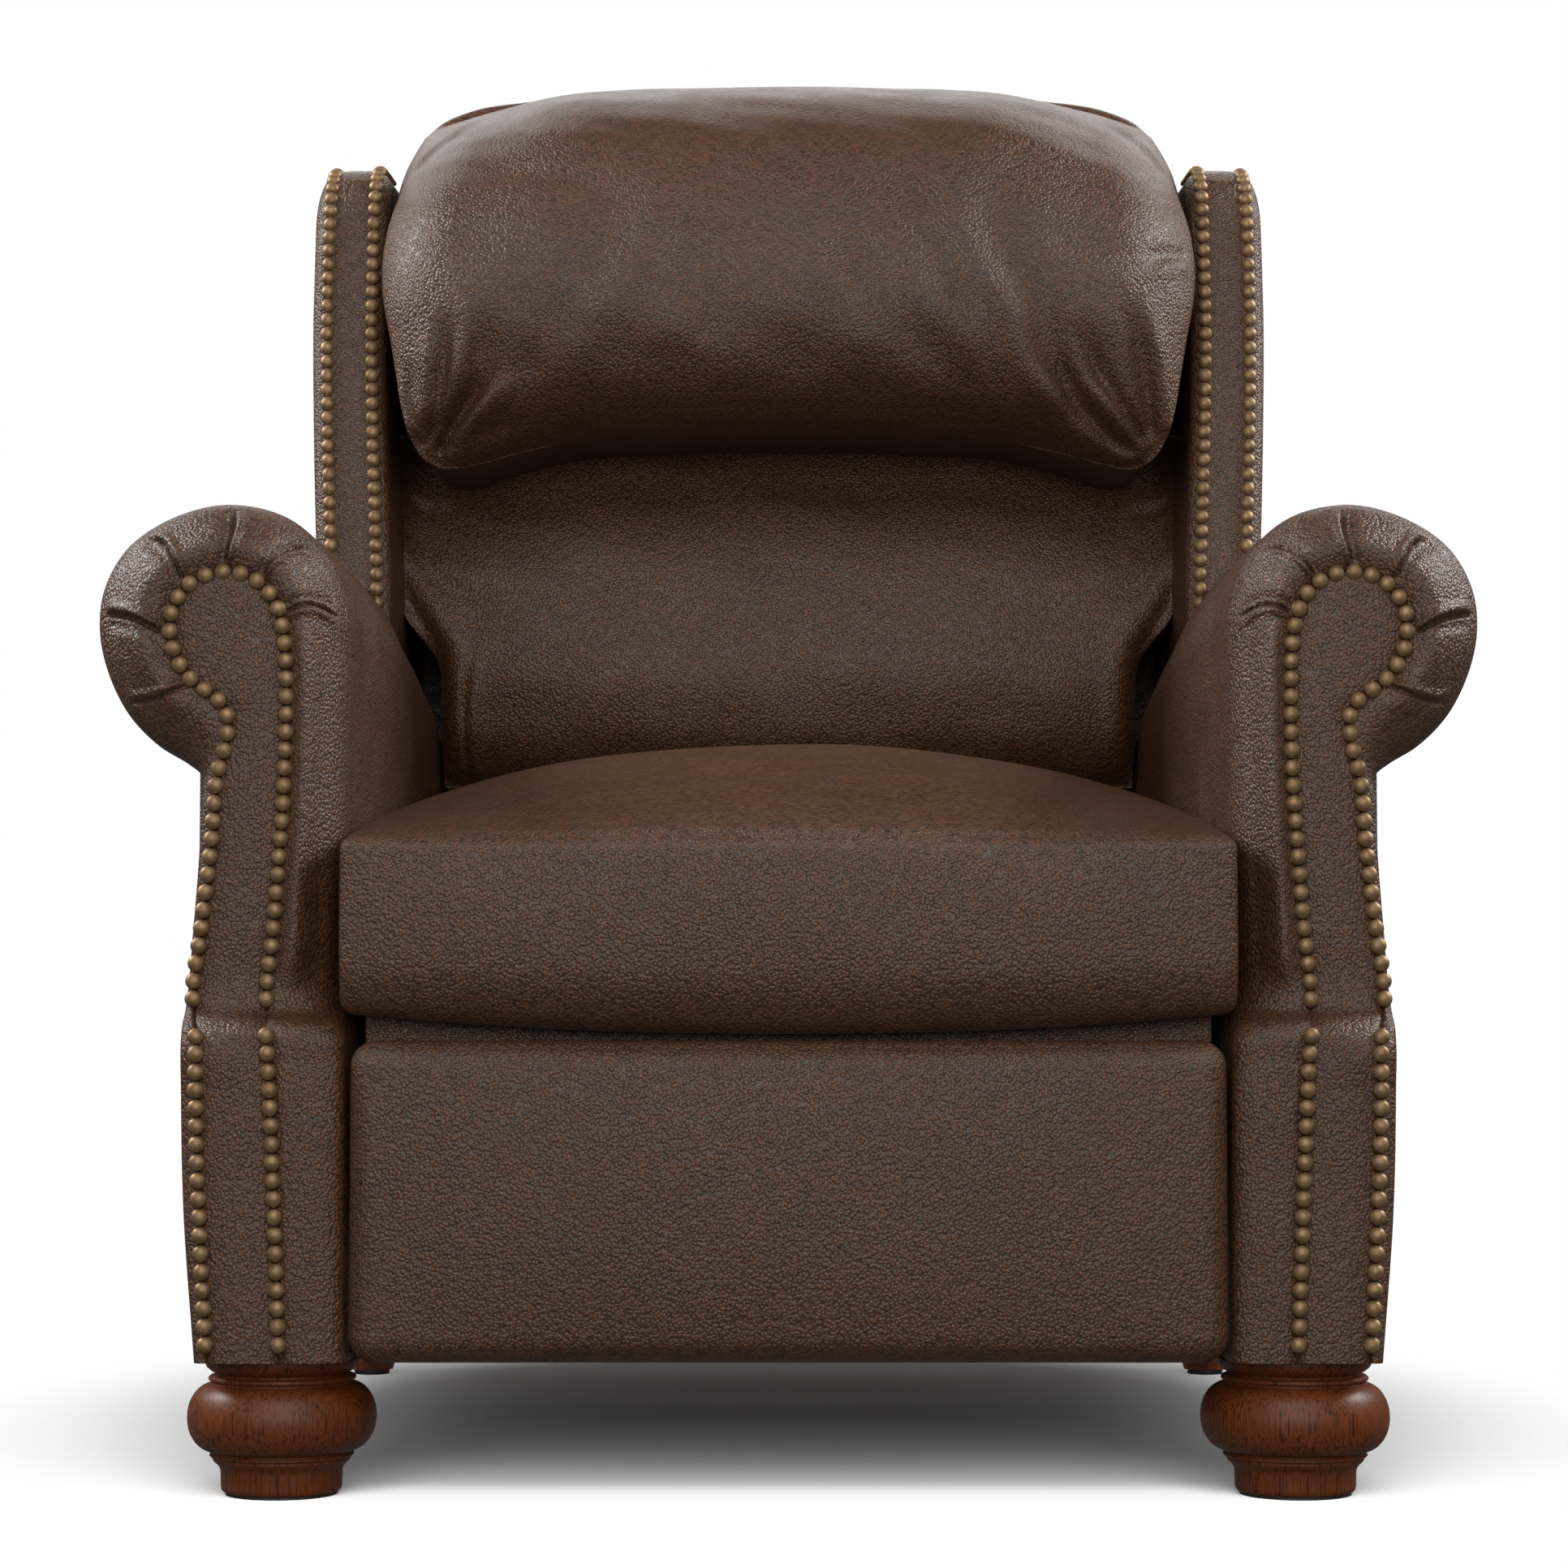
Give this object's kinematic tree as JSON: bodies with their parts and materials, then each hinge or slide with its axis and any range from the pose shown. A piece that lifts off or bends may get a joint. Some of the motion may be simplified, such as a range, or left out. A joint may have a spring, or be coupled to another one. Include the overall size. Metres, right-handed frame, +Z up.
{
  "type": "recliner armchair",
  "caption": "Traditional wing-back push-back recliner with rolled scroll arms, nail-head trim, pillow head cushion, padded seat, folding footrest and turned bun feet.",
  "frame": {"origin": "centre of the footprint box, on the floor", "axes": "+Z up, the sitter faces -Y, +X is the sitter's left"},
  "size_m": [0.903, 0.9, 1.058],
  "materials": {
    "leather": "dark brown pebble-grain leather, soft semi-gloss",
    "antique_brass": "antiqued satin domed nail heads",
    "mahogany": "red-brown stained wood, satin lacquer",
    "plywood": "raw plywood and softwood",
    "black_steel": "black painted steel plate and tube",
    "zinc_steel": "zinc plated steel",
    "deck_cloth": "woven black deck cloth",
    "glide_plastic": "matt dark plastic"
  },
  "bodies": {
    "root": {"base_side_frame_left": "plywood", "base_side_frame_right": "plywood", "arm_roll_left": "leather", "arm_roll_right": "leather", "inside_arm_left": "leather", "inside_arm_right": "leather", "outside_arm_left": "leather", "outside_arm_right": "leather", "arm_front_panel_left": "leather", "arm_front_panel_right": "leather", "front_foot_left": "mahogany", "front_foot_right": "mahogany", "rear_foot_left": "mahogany", "rear_foot_right": "mahogany", "mechanism_rail_left": "black_steel", "mechanism_rail_right": "black_steel", "base_front_bar": "black_steel", "base_rear_panel": "leather", "arm_nails": "antique_brass", "foot_bolts": "zinc_steel", "foot_glides": "glide_plastic", "rail_bolts": "zinc_steel"},
    "front_swing": {"front_swing_link_left": "black_steel", "front_swing_link_right": "black_steel", "front_torque_tube": "black_steel"},
    "rear_swing": {"rear_swing_link_left": "black_steel", "rear_swing_link_right": "black_steel", "rear_torque_tube": "black_steel"},
    "seat": {"seat_plate_left": "black_steel", "seat_plate_right": "black_steel", "seat_side_rail_left": "plywood", "seat_side_rail_right": "plywood", "seat_cross_rails": "plywood", "seat_springs": "zinc_steel", "seat_deck": "deck_cloth", "seat_cushion": "leather"},
    "footrest_rear": {"footrest_rear_link_left": "black_steel", "footrest_rear_link_right": "black_steel", "footrest_cross_tube": "black_steel"},
    "footrest_mid": {"footrest_mid_link_left": "black_steel", "footrest_mid_link_right": "black_steel"},
    "footrest_control": {"footrest_control_link_left": "black_steel", "footrest_control_link_right": "black_steel"},
    "footrest_guide": {"footrest_guide_link_left": "black_steel", "footrest_guide_link_right": "black_steel"},
    "footrest": {"footrest_bracket_left": "black_steel", "footrest_bracket_right": "black_steel", "footrest_board": "plywood", "footrest_pad": "leather"},
    "back": {"back_side_rail_left": "plywood", "back_side_rail_right": "plywood", "back_cross_rails": "plywood", "back_brackets": "black_steel", "back_springs": "zinc_steel", "lumbar_cushion": "leather", "head_cushion": "leather", "wing_left": "leather", "wing_right": "leather", "wing_nails": "antique_brass", "outside_back_panel": "leather"}
  },
  "joints": [
    {"name": "back_recline", "type": "hinge", "parent": "seat", "child": "back", "pos_m": [0, 0.18, 0.33], "axis": [-1, 0, 0], "range_deg": [0, 32]},
    {"name": "front_swing_turn", "type": "hinge", "parent": "root", "child": "front_swing", "pos_m": [0, -0.19, 0.13], "axis": [1, 0, 0], "range_deg": [0, 40]},
    {"name": "rear_swing_turn", "type": "hinge", "parent": "root", "child": "rear_swing", "pos_m": [0, 0.11, 0.13], "axis": [1, 0, 0], "range_deg": [0, 40]},
    {"name": "seat_glide", "type": "hinge", "parent": "front_swing", "child": "seat", "pos_m": [0, -0.1558, 0.22397], "axis": [-1, 0, 0], "range_deg": [0, 40]},
    {"name": "footrest_extend", "type": "hinge", "parent": "seat", "child": "footrest_rear", "pos_m": [0, -0.21, 0.24], "axis": [-1, 0, 0], "range_deg": [0, 85]},
    {"name": "footrest_mid_turn", "type": "hinge", "parent": "footrest_rear", "child": "footrest_mid", "pos_m": [0, -0.24649, 0.1038], "axis": [1, 0, 0], "range_deg": [0, 123.01]},
    {"name": "footrest_control_turn", "type": "hinge", "parent": "seat", "child": "footrest_control", "pos_m": [0, -0.2687, 0.2222], "axis": [-1, 0, 0], "range_deg": [0, 97.4]},
    {"name": "footrest_guide_turn", "type": "hinge", "parent": "footrest_rear", "child": "footrest_guide", "pos_m": [0, -0.21806, 0.11254], "axis": [1, 0, 0], "range_deg": [0, 122.31]},
    {"name": "footrest_board_turn", "type": "hinge", "parent": "footrest_mid", "child": "footrest", "pos_m": [0, -0.36669, 0.24705], "axis": [-1, 0, 0], "range_deg": [0, 128]}
  ],
  "couplings": [
    {"joint": "front_swing_turn", "follows": "back_recline", "ratio": 1.25},
    {"joint": "rear_swing_turn", "follows": "back_recline", "ratio": 1.25},
    {"joint": "seat_glide", "follows": "back_recline", "ratio": 1.25},
    {"joint": "footrest_mid_turn", "follows": "footrest_extend", "ratio": 1.4471},
    {"joint": "footrest_control_turn", "follows": "footrest_extend", "ratio": 1.1459},
    {"joint": "footrest_guide_turn", "follows": "footrest_extend", "ratio": 1.4388},
    {"joint": "footrest_board_turn", "follows": "footrest_extend", "ratio": 1.5059}
  ]
}
